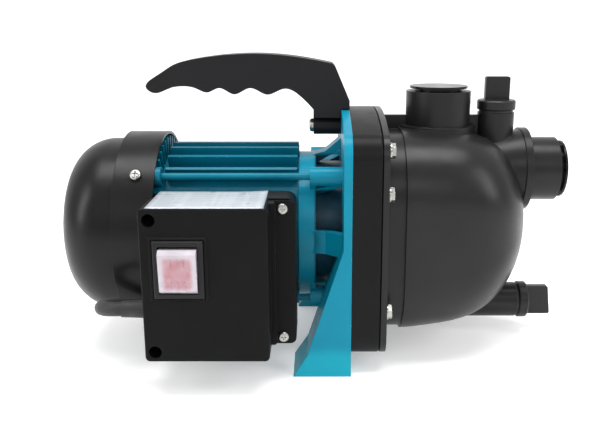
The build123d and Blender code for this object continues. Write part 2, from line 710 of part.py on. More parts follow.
def box_cover():
    w = BOX_WALL
    shape = rounded_block(BOX_LEFT, LID_RIGHT, BOX_FRONT, BOX_SPLIT - 0.1, BOX_BOTTOM, BOX_TOP, 3)
    shape = fillet(shape.edges().group_by(Axis.Y)[0], 1.2)
    shape += rounded_block(
        LID_RIGHT - 12, BOX_RIGHT, BOX_SPLIT - LEDGE_T, BOX_SPLIT - 0.1, BOX_BOTTOM + 1, BOX_TOP - 1, 4
    )
    shape += rounded_block(
        LID_RIGHT - 3, LID_RIGHT + 3.7, BOX_SPLIT - LEDGE_T - 7, BOX_SPLIT - 1, BOX_BOTTOM + 3, BOX_TOP - 1, 2
    )
    shape -= rounded_block(
        BOX_LEFT + w, LID_RIGHT - w, BOX_FRONT + w, BOX_SPLIT + 1, BOX_BOTTOM + w, BOX_TOP - w, 2
    )
    for x, z in WELL_SPOTS:
        shape += rod_y(WELL_R + 1.6, BOX_FRONT + 1, BOX_SPLIT - 0.1, x, z)
        shape -= rod_y(WELL_R, BOX_FRONT - 1, BOX_SPLIT - 5, x, z)
        shape -= rod_y(1.9, BOX_FRONT, BOX_SPLIT + 1, x, z)
    for x, z in LEDGE_SPOTS:
        shape -= rod_y(1.9, BOX_SPLIT - 9, BOX_SPLIT + 1, x, z)
    frame = block(
        SWITCH_X - FRAME_W / 2, SWITCH_X + FRAME_W / 2, BOX_FRONT - 1.4, BOX_FRONT + 1,
        SWITCH_Z - FRAME_H / 2, SWITCH_Z + FRAME_H / 2,
    )
    frame = chamfer(frame.faces().sort_by(Axis.Y)[0].edges(), 1.0)
    shape += frame
    shape -= block(
        SWITCH_X - BEZEL_W / 2 - 0.4, SWITCH_X + BEZEL_W / 2 + 0.4, BOX_FRONT - 3, BOX_FRONT + 0.5,
        SWITCH_Z - BEZEL_H / 2 - 0.4, SWITCH_Z + BEZEL_H / 2 + 0.4,
    )
    shape -= block(
        SWITCH_X - 13.5, SWITCH_X + 13.5, BOX_FRONT - 3, BOX_FRONT + 6, SWITCH_Z - 16, SWITCH_Z + 16
    )
    exit_z = EXIT[2] - SHAFT_Z
    return shape - rod(5.6, BOX_LEFT - 1, BOX_LEFT + w + 1, EXIT[1], exit_z)


def box_screws():
    screws = []
    for x, z in LEDGE_SPOTS:
        screws.append(Pos(x, BOX_SPLIT - LEDGE_T, z) * Rot(90, 0, 0) * pan_screw(3.5, 2.2, 1.65, 12))
    for x, z in WELL_SPOTS:
        screws.append(Pos(x, BOX_SPLIT - 5, z) * Rot(90, 0, 0) * pan_screw(3.4, 2.2, 1.65, 14))
    return screws


def rating_label():
    return block(-99, -36, BOX_FRONT + 3, BOX_BACK - 4, BOX_TOP, BOX_TOP + 0.3)


ROCKER_Y = BOX_FRONT + 3.0     # the rocker's pivot, inside the switch
PIN_R = 1.2
PIN_REACH = 12.6


def switch_body():
    """Bezel plate with its own well, and the block of contacts behind it."""
    y = BOX_FRONT
    plate = block(
        SWITCH_X - BEZEL_W / 2, SWITCH_X + BEZEL_W / 2, y - 2.6, y + 0.45,
        SWITCH_Z - BEZEL_H / 2, SWITCH_Z + BEZEL_H / 2,
    )
    plate = chamfer(plate.faces().sort_by(Axis.Y)[0].edges(), 0.8)
    body = block(SWITCH_X - 13.2, SWITCH_X + 13.2, y, y + 22, SWITCH_Z - 15.7, SWITCH_Z + 15.7)
    well = block(
        SWITCH_X - ROCKER_W / 2 - 0.4, SWITCH_X + ROCKER_W / 2 + 0.4, y - 4, y + 9,
        SWITCH_Z - ROCKER_H / 2 - 0.9, SWITCH_Z + ROCKER_H / 2 + 0.9,
    )
    shape = plate + body - well
    shape -= rod(PIN_R + SEAT, SWITCH_X - PIN_REACH, SWITCH_X + PIN_REACH, ROCKER_Y, SWITCH_Z)
    for z in (-9, 0, 9):
        shape += block(SWITCH_X - 3.2, SWITCH_X + 3.2, y + 21, y + 31, z - 0.4, z + 0.4)
    return shape


def rocker():
    side = make_face(Polyline(
        (-ROCKER_H / 2 + 1.2, 3.5), (ROCKER_H / 2 - 1.2, 3.5), (ROCKER_H / 2, -6.0),
        (ROCKER_H / 2 - 2.2, -8.6), (-ROCKER_H / 2 + 2.2, -8.6), (-ROCKER_H / 2, -6.0),
        close=True,
    ))
    # local x is height, local y is depth
    plane = Plane(origin=(-ROCKER_W / 2, 0, 0), x_dir=(0, 0, 1), z_dir=(1, 0, 0))
    shape = extrude(plane * mirror(side, Plane.XZ), amount=ROCKER_W)
    for z in (-8.0, 6.5):
        for x in (-4, 0, 4):
            shape += block(x - 0.35, x + 0.35, -8.95, -8.0, z - 2.6, z + 2.6)
    shape = Rot(ROCKER_TILT, 0, 0) * shape
    shape -= rod(PIN_R + RUN, -20, 20)
    return Pos(SWITCH_X, ROCKER_Y, SWITCH_Z) * shape


def rocker_pin():
    return rod(PIN_R, SWITCH_X - PIN_REACH, SWITCH_X + PIN_REACH, ROCKER_Y, SWITCH_Z)


def run_capacitor():
    return rod(14, -66, LID_RIGHT - BOX_WALL - 0.3, -90, 16)


def terminal_block():
    shape = block(-66, -38, BOX_BACK - BOX_WALL - 12, BOX_BACK - BOX_WALL, -50, -30)
    for k in range(3):
        shape -= rod_y(2.0, -90, BOX_BACK - BOX_WALL - 6, -61 + 9 * k, -40)
    return shape


# ---- mains lead, drawn with the floor at Z = 0 ----
RELIEF_END = EXIT[0] - RELIEF_OUT
CORD_POINTS = [
    (RELIEF_END, EXIT[1], EXIT[2]),
    (-137.0, -95.0, 52.5),
    (-143.5, -86.0, 50.5),
    (-141.5, -73.0, 47.5),
    (-131.0, -65.0, 44.0),
    (-117.0, -59.0, 40.0),
    (-104.0, -56.5, 34.0),
    (-92.0, -55.0, 22.0),
    (-80.0, -50.0, 10.0),
    (-68.0, -36.0, 4.7),
    (-54.0, -14.0, 4.7),
    (-42.0, 16.0, 4.7),
    (-34.5, 50.0, 4.7),
    (-31.0, 80.0, 4.7),
    (-30.0, 108.0, 4.7),
]


def cord_radii():
    radii = []
    for a, b, c in zip(CORD_POINTS, CORD_POINTS[1:], CORD_POINTS[2:]):
        one = Vector(*b) - Vector(*a)
        two = Vector(*c) - Vector(*b)
        turn = radians(one.get_angle(two))
        radii.append(0.45 * min(one.length, two.length) / tan(turn / 2))
    return radii


def cord_tube():
    radii = cord_radii()
    print("cord radii:", [round(r, 1) for r in radii])
    path = FilletPolyline(*[Vector(*p) for p in CORD_POINTS], radius=radii)
    start = Plane(origin=CORD_POINTS[0], z_dir=Vector(*CORD_POINTS[1]) - Vector(*CORD_POINTS[0]))
    shape = sweep(start * Circle(CORD_R), path=path)
    expected = pi * CORD_R ** 2 * path.length
    print("cord length:", round(path.length, 1), "volume ratio:", round(shape.volume / expected, 4))
    return shape


def cord_coil():
    ring = Cylinder(COIL_R + COIL_TURNS_W / 2, COIL_TURNS_W) - Cylinder(COIL_R - COIL_TURNS_W / 2, COIL_TURNS_W + 1)
    ring = fillet(ring.edges(), 6)
    return Pos(*COIL_MID, COIL_TURNS_W / 2) * ring


def strain_relief():
    """A tapered sleeve through the box wall, ribbed outside."""
    back = EXIT[0] + 5
    profile = [
        (back, CORD_R + SEAT), (back, 7.6), (EXIT[0] + BOX_WALL + 0.1, 7.6),
        (EXIT[0] + BOX_WALL + 0.1, 5.5), (EXIT[0], 5.5), (EXIT[0], 6.4), (EXIT[0] - 2, 6.2),
        (EXIT[0] - 2, 5.7), (RELIEF_END, 5.2), (RELIEF_END, CORD_R + SEAT),
    ]
    sleeve = spin(profile)
    return Pos(0, EXIT[1], EXIT[2]) * sleeve


PLUG_AT = (-108.0, 197.5)      # end of the plug's sleeve, at the coil
PLUG_Z = 18.5


def plug_body():
    """A round two-pin earthed plug lying on its side, its pins towards -X."""
    body = rod(18.2, 24, 52)
    body = fillet(body.edges().group_by(Axis.X)[0], 7)
    body += rod(17, 52, 60)
    neck = Solid.make_cone(5.2, 9.5, 30, Plane(origin=(0, 0, 0), z_dir=(1, 0, 0)))
    shape = body + neck
    for side in (-1, 1):
        shape -= block(30, 61, side * 18.3 - 3, side * 18.3 + 3, -2.6, 2.6)
        shape -= rod(2.4, 52, 61, 0, side * 9.5)
    return Pos(*PLUG_AT, PLUG_Z) * Rot(0, 0, 180) * shape


def plug_pins():
    pins = []
    for side in (-1, 1):
        pin = rod(2.35, 53, 79, 0, side * 9.5)
        pin = fillet(pin.edges().group_by(Axis.X)[-1], 1.5)
        pins.append(Pos(*PLUG_AT, PLUG_Z) * Rot(0, 0, 180) * pin)
    return pins


ON_SHAFT = {
    "motor_housing": motor_housing,
    "rear_shield": rear_shield,
    "fan_cover": fan_cover,
    "fan_cover_screws": fan_cover_screws,
    "tie_bolts": tie_bolts,
    "front_bracket": front_bracket,
    "stator_core": stator_core,
    "stator_windings": stator_windings,
    "bearing_outer_rings": bearing_outer_rings,
    "bearing_balls": bearing_balls,
    "bearing_inner_rings": bearing_inner_rings,
    "rotor_shaft": rotor_shaft,
    "rotor_core": rotor_core,
    "cooling_fan": cooling_fan,
    "fan_clip": fan_clip,
    "water_slinger": water_slinger,
    "back_cover": back_cover,
    "seal_seat": seal_seat,
    "seal_face": seal_face,
    "seal_spring": seal_spring,
    "impeller": impeller,
    "impeller_nut": impeller_nut,
    "guide_wheel": guide_wheel,
    "venturi_tube": venturi_tube,
    "jet_nozzle": jet_nozzle,
    "pump_casing": pump_casing,
    "casing_bolts": casing_bolts,
    "discharge_cap": discharge_cap,
    "suction_cap": suction_cap,
    "fill_plug": lambda: FILL_PLACE * screw_plug(8.6, 0.0),
    "fill_washer": lambda: FILL_PLACE * plug_washer(),
    "drain_plug": lambda: DRAIN_PLACE * screw_plug(11.0, -2.5),
    "drain_washer": lambda: DRAIN_PLACE * plug_washer(),
    "carry_handle": handle,
    "handle_screw": handle_screw,
    "box_base": box_base,
    "box_cover": box_cover,
    "box_screws": box_screws,
    "rating_label": rating_label,
    "switch_body": switch_body,
    "switch_rocker": rocker,
    "rocker_pin": rocker_pin,
    "run_capacitor": run_capacitor,
    "terminal_block": terminal_block,
}

ON_FLOOR = {
    "strain_relief": strain_relief,
    "cord_tube": cord_tube,
    "cord_coil": cord_coil,
    "plug_body": plug_body,
    "plug_pins": plug_pins,
}


def write(name, made, place):
    pieces = made if isinstance(made, list) else [made]
    placed = [place * piece for piece in pieces]
    export_step(Compound(children=placed) if len(placed) > 1 else placed[0], f"parts/{name}.step")


os.makedirs("parts", exist_ok=True)
for name, make in ON_SHAFT.items():
    write(name, make(), Pos(0, 0, SHAFT_Z))
for name, make in ON_FLOOR.items():
    write(name, make(), Pos(0, 0, 0))
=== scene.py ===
import bpy
import bmesh
import json
import math
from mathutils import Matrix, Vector


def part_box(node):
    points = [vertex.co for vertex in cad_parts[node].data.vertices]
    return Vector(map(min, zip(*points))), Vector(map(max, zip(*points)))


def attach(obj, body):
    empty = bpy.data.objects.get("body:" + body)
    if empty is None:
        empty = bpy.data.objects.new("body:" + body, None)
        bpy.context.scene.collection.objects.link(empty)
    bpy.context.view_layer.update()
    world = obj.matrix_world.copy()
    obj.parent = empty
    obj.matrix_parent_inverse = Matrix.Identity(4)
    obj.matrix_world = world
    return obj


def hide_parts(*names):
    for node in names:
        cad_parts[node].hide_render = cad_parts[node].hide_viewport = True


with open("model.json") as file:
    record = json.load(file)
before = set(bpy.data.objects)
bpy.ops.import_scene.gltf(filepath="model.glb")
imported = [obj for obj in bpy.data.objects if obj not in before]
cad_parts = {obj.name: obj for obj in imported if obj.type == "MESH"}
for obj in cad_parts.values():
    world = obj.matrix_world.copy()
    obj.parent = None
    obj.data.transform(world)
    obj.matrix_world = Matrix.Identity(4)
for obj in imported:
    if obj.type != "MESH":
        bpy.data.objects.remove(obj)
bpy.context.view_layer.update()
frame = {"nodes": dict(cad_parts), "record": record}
nodes = frame["nodes"]
scene = bpy.context.scene


# ---- camera ----

CAMERA_PLACE = (-0.002, -0.53643, 0.22764)
CAMERA_TILT = 76
LENS_MM = 44.4
FRAME_SHIFT = -0.03


def make_camera():
    """The photograph's view: from the switch box's side, looking 14 degrees down."""
    data = bpy.data.cameras.new("camera")
    data.lens = LENS_MM
    data.sensor_width = 36
    data.shift_x = FRAME_SHIFT
    data.dof.use_dof = False
    camera = bpy.data.objects.new("camera", data)
    camera.location = CAMERA_PLACE
    camera.rotation_euler = (math.radians(CAMERA_TILT), 0, 0)
    scene.collection.objects.link(camera)
    scene.camera = camera


make_camera()


# ---- lead ----

EXIT = (-0.1265, -0.095, 0.053)
ROUTE = [
    EXIT, (-0.137, -0.095, 0.0525), (-0.1435, -0.086, 0.0505), (-0.1415, -0.073, 0.0475),
    (-0.131, -0.065, 0.044), (-0.117, -0.059, 0.040), (-0.104, -0.0565, 0.034),
    (-0.092, -0.055, 0.022), (-0.080, -0.050, 0.010), (-0.068, -0.036, 0.0047),
    (-0.054, -0.014, 0.0047), (-0.042, 0.016, 0.0047), (-0.0345, 0.050, 0.0047),
    (-0.031, 0.080, 0.0047), (-0.030, 0.108, 0.0047),
]
CORD_R = 0.0045
COIL_MIDDLE = (-0.084, 0.141)
COIL_TURNS = 3.17
STEPS_PER_TURN = 18
# Each turn's radius and height, and the part of the turn after which the lead moves to the next one.
TURNS = [(0.0550, 0.0047, 0.86), (0.0455, 0.0047, 0.72), (0.0500, 0.0126, 0.86), (0.0590, 0.0128, 0.86)]
MOVE = 0.14
# The spline runs inside its control points by this factor.
SPLINE_PULL = 0.985
TO_PLUG = [
    (-0.088, 0.2005, 0.0160), (-0.099, 0.1988, 0.0180),
    (-0.109, 0.1975, 0.0185), (-0.116, 0.1975, 0.0185),
]


def turn_radius(turns):
    """Distance from the coil's middle, and height, after so many turns."""
    whole = int(turns)
    last = len(TURNS) - 1
    radius, height, move_from = TURNS[min(whole, last)]
    next_radius, next_height, _ = TURNS[min(whole + 1, last)]
    ease = min(max((turns - whole - move_from) / MOVE, 0), 1)
    ease = ease * ease * (3 - 2 * ease)
    return radius + (next_radius - radius) * ease, height + (next_height - height) * ease


def coil_points():
    points = []
    for k in range(int(COIL_TURNS * STEPS_PER_TURN) + 1):
        turns = k / STEPS_PER_TURN
        r, z = turn_radius(turns)
        r /= SPLINE_PULL
        a = 2 * math.pi * turns
        points.append((COIL_MIDDLE[0] + r * math.cos(a), COIL_MIDDLE[1] + r * math.sin(a), z))
    return points + TO_PLUG


def make_lead():
    """One smooth spline: the chosen route, then the coil, then into the plug."""
    curve = bpy.data.curves.new("mains_lead", "CURVE")
    curve.dimensions = "3D"
    # Each point's radius gives the thickness: the curve's box grows by it, whatever the bevel is.
    curve.bevel_depth = 1.0
    curve.bevel_resolution = 6
    curve.resolution_u = 6
    curve.use_fill_caps = True
    points = ROUTE + coil_points()
    spline = curve.splines.new("NURBS")
    spline.points.add(len(points) - 1)
    for target, p in zip(spline.points, points):
        target.co = (*p, 1)
        target.radius = CORD_R
    spline.order_u = 3
    spline.use_endpoint_u = True
    lead = bpy.data.objects.new("mains_lead", curve)
    scene.collection.objects.link(lead)
    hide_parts("cord_tube", "cord_coil")
    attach(lead, "pump")
    return lead


lead = make_lead()


# ---- label ----

LABEL_X = (-0.1053, -0.0345)
LABEL_Y = (-0.1103, -0.0640)
RULED_X = (-0.1010, -0.0390)
RULED_Y = (-0.1075, -0.0670)
FILM = 0.0001
CORNER_LIFT = 0.0006
CORNER_START = 1.7


def make_label():
    """A blank film over the whole top of the box, one corner a little lifted."""
    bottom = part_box("rating_label")[0].z
    bm = bmesh.new()
    across, deep = 24, 16
    rows = []
    for j in range(deep + 1):
        v = j / deep
        y = LABEL_Y[0] + (LABEL_Y[1] - LABEL_Y[0]) * v
        row = []
        for i in range(across + 1):
            u = i / across
            x = LABEL_X[0] + (LABEL_X[1] - LABEL_X[0]) * u
            lifted = max(0.0, u + v - CORNER_START) / (2 - CORNER_START)
            row.append(bm.verts.new((x, y, bottom + FILM + CORNER_LIFT * lifted ** 2)))
        rows.append(row)
    for a, b in zip(rows, rows[1:]):
        for i in range(across):
            bm.faces.new((a[i], a[i + 1], b[i + 1], b[i]))
    mesh = bpy.data.meshes.new("label_film")
    bm.to_mesh(mesh)
    bm.free()
    for face in mesh.polygons:
        face.use_smooth = True
    label = bpy.data.objects.new("label_film", mesh)
    scene.collection.objects.link(label)
    skin = label.modifiers.new("thickness", "SOLIDIFY")
    skin.thickness = FILM
    skin.offset = 1
    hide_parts("rating_label")
    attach(label, "pump")
    return label


label = make_label()


# ---- materials ----
# Sizes are metres, a noise scale is per metre, and a ramp's stops are (place, value or colour).

class Mat:
    """A node material with object coordinates, bump, and an edge mask for wear and painted edge
    highlights.
    """

    def __init__(self, name, color, rough, metallic=0.0, specular=0.5, coat=0.0, coat_rough=0.1):
        self.mat = bpy.data.materials.new(name)
        self.mat.use_nodes = True
        self.tree = self.mat.node_tree
        self.tree.nodes.clear()
        self.out = self.node("ShaderNodeOutputMaterial")
        self.bsdf = self.node("ShaderNodeBsdfPrincipled")
        self.link(self.bsdf.outputs[0], self.out.inputs[0])
        self.color = color
        self.rough = rough
        self.bsdf.inputs["Metallic"].default_value = metallic
        self.bsdf.inputs["Specular IOR Level"].default_value = specular
        self.bsdf.inputs["Coat Weight"].default_value = coat
        self.bsdf.inputs["Coat Roughness"].default_value = coat_rough
        self.bsdf.inputs["Base Color"].default_value = (*color, 1)
        self.bsdf.inputs["Roughness"].default_value = rough
        self.coord = self.node("ShaderNodeTexCoord").outputs["Object"]
        self.color_out = None
        self.rough_out = None
        self.height = None

    def node(self, kind, **values):
        made = self.tree.nodes.new(kind)
        for key, value in values.items():
            setattr(made, key, value)
        return made

    def link(self, a, b):
        self.tree.links.new(a, b)

    def noise(self, scale, detail=3, rough=0.5, stretch=None):
        made = self.node("ShaderNodeTexNoise")
        made.inputs["Scale"].default_value = scale
        made.inputs["Detail"].default_value = detail
        made.inputs["Roughness"].default_value = rough
        source = self.coord
        if stretch:
            mapping = self.node("ShaderNodeMapping")
            mapping.inputs["Scale"].default_value = stretch
            self.link(source, mapping.inputs[0])
            source = mapping.outputs[0]
        self.link(source, made.inputs["Vector"])
        return made.outputs["Fac"]

    def ramp(self, source, stops):
        """Grey for a plain number, or a colour, at each place."""
        made = self.node("ShaderNodeValToRGB")
        elements = made.color_ramp.elements
        while len(elements) < len(stops):
            elements.new(0.5)
        for element, (at, value) in zip(elements, stops):
            element.position = at
            element.color = (*value, 1) if isinstance(value, tuple) else (value, value, value, 1)
        self.link(source, made.inputs[0])
        return made.outputs[0]

    def mix(self, fac, a, b):
        made = self.node("ShaderNodeMix", data_type="RGBA")
        for socket, value in ((made.inputs[0], fac), (made.inputs[6], a), (made.inputs[7], b)):
            if isinstance(value, bpy.types.NodeSocket):
                self.link(value, socket)
            elif isinstance(value, tuple):
                socket.default_value = (*value, 1)
            else:
                socket.default_value = value
        return made.outputs[2]

    def math(self, kind, a, b=None, clamp=False):
        made = self.node("ShaderNodeMath", operation=kind, use_clamp=clamp)
        for socket, value in zip(made.inputs, (a, b)):
            if isinstance(value, bpy.types.NodeSocket):
                self.link(value, socket)
            elif value is not None:
                socket.default_value = value
        return made.outputs[0]

    def xyz(self):
        made = self.node("ShaderNodeSeparateXYZ")
        self.link(self.coord, made.inputs[0])
        return made.outputs

    def band(self, value, low, high, soft=0.0002):
        """One inside low to high, and zero outside."""
        up = self.node("ShaderNodeMapRange", interpolation_type="SMOOTHSTEP")
        down = self.node("ShaderNodeMapRange", interpolation_type="SMOOTHSTEP")
        for made, a, b in ((up, low - soft, low + soft), (down, high + soft, high - soft)):
            self.link(value, made.inputs[0])
            made.inputs[1].default_value = a
            made.inputs[2].default_value = b
        return self.math("MULTIPLY", up.outputs[0], down.outputs[0])

    def rounded_normal(self, radius):
        bevel = self.node("ShaderNodeBevel", samples=4)
        bevel.inputs["Radius"].default_value = radius
        return bevel.outputs[0]

    def edges(self, radius=0.0007):
        """How near a sharp edge a point is, and the rounded normal."""
        rounded = self.rounded_normal(radius)
        true = self.node("ShaderNodeNewGeometry").outputs["Normal"]
        dot = self.node("ShaderNodeVectorMath", operation="DOT_PRODUCT")
        self.link(rounded, dot.inputs[0])
        self.link(true, dot.inputs[1])
        near = self.math("SUBTRACT", 1.0, dot.outputs["Value"], clamp=True)
        return self.math("MULTIPLY", near, 6.0, clamp=True), rounded

    def finish(self):
        if self.color_out is not None:
            self.link(self.color_out, self.bsdf.inputs["Base Color"])
        if self.rough_out is not None:
            self.link(self.rough_out, self.bsdf.inputs["Roughness"])
        if self.height is not None:
            self.link(self.height, self.bsdf.inputs["Normal"])
        return self.mat

    def bump(self, source, strength, distance, normal=None):
        """Adds a bump over the one before, or over the normal given."""
        made = self.node("ShaderNodeBump")
        made.inputs["Strength"].default_value = strength
        made.inputs["Distance"].default_value = distance
        self.link(source, made.inputs["Height"])
        before = self.height or normal
        if before is not None:
            self.link(before, made.inputs["Normal"])
        self.height = made.outputs[0]


def tone(color, k):
    """The colour made lighter or darker."""
    return tuple(min(1.0, c * k) for c in color)


DUST_TONE = 2.7


def plastic(name, color, rough, grain=2600, depth=0.00003, specular=0.3, wear=2.88, patch=0.12):
    """Moulded plastic: fine grain, cloudy tone, dust, and edges worn lighter."""
    m = Mat(name, color, rough, specular=specular)
    near, normal = m.edges()
    cloud = m.noise(35, 4)
    shade = m.ramp(cloud, [(0.3, tone(color, 1 - patch)), (0.7, tone(color, 1 + patch))])
    scuff = m.ramp(m.noise(160, 5, 0.6), [(0.42, 0.0), (0.72, 1.0)])
    worn = m.math("MULTIPLY", near, scuff)
    dust = m.ramp(m.noise(900, 2), [(0.66, 0.0), (0.78, 1.0)])
    shade = m.mix(m.math("MULTIPLY", dust, 0.10), shade, tone(color, DUST_TONE))
    m.color_out = m.mix(m.math("MULTIPLY", worn, 0.55), shade, tone(color, wear))
    streak = m.noise(55, 5, 0.65)
    m.rough_out = m.ramp(streak, [(0.25, max(rough - 0.05, 0.02)), (0.75, min(rough + 0.07, 1.0))])
    m.bump(m.noise(grain, 2), 0.35, depth, normal)
    m.bump(m.noise(70, 2), 0.12, 0.0004)
    return m.finish()


SHAFT_Z = 0.085
BARE_METAL = (0.42, 0.47, 0.48)
# Where painted shade lies inside the bracket: within this radius of the shaft, and between these places
# along it.
HOLLOW_R = 0.0535
HOLLOW_X = (-0.0045, 0.0150)


def enamel(name, color, rough=0.3, lit_foot=None, lit_foot_heights=None, hollow_shade=None):
    """Sprayed enamel over cast metal: orange peel, a painted highlight along the edges, and edges
    chipped to bare metal.

    The foot colour, a lighter teal, is a painted highlight on the lower part of the feet; it changes to
    the body's colour between the two heights given for the feet's top. The hollow colour is painted
    shade: near-black on the bracket's inner face, round the shaft.
    """
    m = Mat(name, color, rough, specular=0.14, coat=0.03, coat_rough=0.15)
    near, normal = m.edges(0.0009)
    cloud = m.noise(28, 4)
    shade = m.ramp(cloud, [(0.3, tone(color, 0.9)), (0.7, tone(color, 1.1))])
    # Painted highlight: the lower part of the feet is painted a lighter teal, fading to the body's
    # colour higher up.
    if lit_foot:
        z = m.xyz()[2]
        blend = m.node("ShaderNodeMapRange", interpolation_type="SMOOTHSTEP")
        m.link(z, blend.inputs[0])
        blend.inputs[1].default_value = lit_foot_heights[0]
        blend.inputs[2].default_value = lit_foot_heights[1]
        shade = m.mix(blend.outputs[0], lit_foot, shade)
    # Painted shade: the bracket's inner face round the shaft is painted near-black, with a little noise
    # in how dark.
    if hollow_shade:
        x, y, z = m.xyz()
        high = m.math("SUBTRACT", z, SHAFT_Z)
        squares = m.math("ADD", m.math("MULTIPLY", y, y), m.math("MULTIPLY", high, high))
        from_shaft = m.math("SQRT", squares)
        inside = m.math(
            "MULTIPLY", m.band(from_shaft, 0.0, HOLLOW_R, 0.0015), m.band(x, *HOLLOW_X, 0.0004),
        )
        shade_depth = m.ramp(m.noise(90, 4, 0.6), [(0.3, 0.80), (0.7, 0.95)])
        shade = m.mix(m.math("MULTIPLY", inside, shade_depth), shade, hollow_shade)
    chips = m.ramp(m.noise(420, 5, 0.7), [(0.60, 0.0), (0.68, 1.0)])
    bare = m.math("MULTIPLY", near, chips)
    # Painted highlight: every sharp edge is painted lighter.
    shade = m.mix(m.math("MULTIPLY", near, 0.35), shade, tone(color, 1.5))
    m.color_out = m.mix(m.math("MULTIPLY", bare, 0.7), shade, BARE_METAL)
    m.rough_out = m.ramp(m.noise(90, 4, 0.6), [(0.25, rough - 0.06), (0.75, rough + 0.10)])
    m.bump(m.noise(520, 2), 0.22, 0.00012, normal)
    m.bump(m.noise(60, 3), 0.10, 0.0008)
    return m.finish()


def metal(name, color, rough, stretch=(1, 1, 1), scale=900, stain=0.15):
    """Bare or plated metal, marked along the stretch that turning or drawing leaves."""
    m = Mat(name, color, rough, metallic=1.0)
    near, normal = m.edges(0.0004)
    cloud = m.noise(180, 4)
    shade = m.ramp(cloud, [(0.3, tone(color, 1 - stain)), (0.7, tone(color, 1 + stain / 2))])
    # Painted highlight: sharp edges are painted lighter.
    m.color_out = m.mix(m.math("MULTIPLY", near, 0.4), shade, tone(color, 1.25))
    m.rough_out = m.ramp(m.noise(scale, 4, 0.6, stretch), [(0.3, rough - 0.08), (0.7, rough + 0.12)])
    m.bump(m.noise(scale, 3, 0.5, stretch), 0.25, 0.00004, normal)
    return m.finish()


def laminated(name, color):
    """The edge of a stack of sheet steel, ruled across the shaft."""
    m = Mat(name, color, 0.45, metallic=0.9)
    wave = m.node("ShaderNodeTexWave", bands_direction="X")
    wave.inputs["Scale"].default_value = 320
    wave.inputs["Distortion"].default_value = 0.3
    m.link(m.coord, wave.inputs["Vector"])
    m.color_out = m.ramp(wave.outputs["Fac"], [(0.2, tone(color, 0.55)), (0.7, tone(color, 1.15))])
    m.rough_out = m.ramp(m.noise(300, 3), [(0.3, 0.36), (0.7, 0.55)])
    m.bump(wave.outputs["Fac"], 0.4, 0.0001)
    return m.finish()


def wound(name, color):
    """Varnished copper windings, laid round the stack."""
    m = Mat(name, color, 0.3, metallic=0.85, coat=0.4, coat_rough=0.15)
    wave = m.node("ShaderNodeTexWave", wave_type="RINGS", rings_direction="X")
    wave.inputs["Scale"].default_value = 300
    wave.inputs["Distortion"].default_value = 2.5
    m.link(m.coord, wave.inputs["Vector"])
    m.color_out = m.ramp(wave.outputs["Fac"], [(0.15, tone(color, 0.35)), (0.6, color)])
    m.rough_out = m.ramp(m.noise(260, 3), [(0.3, 0.22), (0.7, 0.42)])
    m.bump(wave.outputs["Fac"], 0.6, 0.0003)
    return m.finish()


RUBBER_BLOOM = (0.12, 0.12, 0.115)


def rubbery(name, color, rough=0.6):
    """Matt rubber with a grey bloom on it in patches."""
    m = Mat(name, color, rough, specular=0.4)
    m.bsdf.inputs["Sheen Weight"].default_value = 0.15
    shade = m.ramp(m.noise(60, 4), [(0.3, tone(color, 0.8)), (0.7, tone(color, 1.3))])
    bloom = m.ramp(m.noise(240, 5, 0.7), [(0.55, 0.0), (0.8, 1.0)])
    m.color_out = m.mix(m.math("MULTIPLY", bloom, 0.18), shade, RUBBER_BLOOM)
    m.rough_out = m.ramp(m.noise(130, 4), [(0.3, rough - 0.1), (0.7, rough + 0.15)])
    m.bump(m.noise(1500, 3), 0.3, 0.00005, m.rounded_normal(0.0005))
    return m.finish()


LENS_X = (-0.0945, -0.0775)
LENS_Z = (0.0740, 0.0935)


def rocker_plastic(name):
    """Milky clear plastic, with a pink lens showing through its middle."""
    m = Mat(name, (0.80, 0.55, 0.58), 0.22, specular=0.5, coat=0.3, coat_rough=0.12)
    m.bsdf.inputs["Subsurface Weight"].default_value = 0.35
    m.bsdf.inputs["Subsurface Radius"].default_value = (0.006, 0.003, 0.003)
    x, _, z = m.xyz()
    lens = m.math("MULTIPLY", m.band(x, *LENS_X, 0.0016), m.band(z, *LENS_Z, 0.0020))
    milky = m.ramp(m.noise(120, 2), [(0.3, (0.42, 0.38, 0.43)), (0.7, (0.50, 0.46, 0.50))])
    ruddy = m.ramp(m.noise(150, 3, 0.5), [(0.35, (0.35, 0.080, 0.098)), (0.65, (0.39, 0.19, 0.22))])
    m.color_out = m.mix(m.math("MULTIPLY", lens, 0.75), milky, ruddy)
    m.rough_out = m.ramp(m.noise(200, 3), [(0.3, 0.16), (0.7, 0.30)])
    m.bump(m.noise(500, 2), 0.08, 0.0001)
    return m.finish()


LABEL_INK = (0.10, 0.11, 0.12)


def label_film(name):
    """Blank silvery film with broken ruled lines."""
    m = Mat(name, (0.62, 0.65, 0.69), 0.32, metallic=0.25, coat=0.3, coat_rough=0.15)
    x, y, _ = m.xyz()
    wave = m.node("ShaderNodeTexWave", bands_direction="Y")
    wave.inputs["Scale"].default_value = 62
    m.link(m.coord, wave.inputs["Vector"])
    ruled = m.ramp(wave.outputs["Fac"], [(0.86, 0.0), (0.93, 1.0)])
    broken = m.ramp(m.noise(260, 2, 0.5, (1, 0.02, 1)), [(0.47, 0.0), (0.50, 1.0)])
    inside = m.math("MULTIPLY", m.band(x, *RULED_X), m.band(y, *RULED_Y))
    marks = m.math("MULTIPLY", m.math("MULTIPLY", ruled, broken), inside)
    brushed = m.noise(400, 4, 0.6, (0.1, 1, 1))
    film = m.ramp(brushed, [(0.3, (0.45, 0.48, 0.52)), (0.7, (0.56, 0.59, 0.63))])
    m.color_out = m.mix(m.math("MULTIPLY", marks, 0.6), film, LABEL_INK)
    m.rough_out = m.ramp(m.noise(120, 3), [(0.3, 0.26), (0.7, 0.42)])
    m.bump(m.noise(90, 2), 0.2, 0.0003)
    return m.finish()


FINISHES = {}


def finish(slot, make, *values, **looks):
    """Makes a material under its slot's name in the record."""
    FINISHES[slot] = make(slot, *values, **looks)


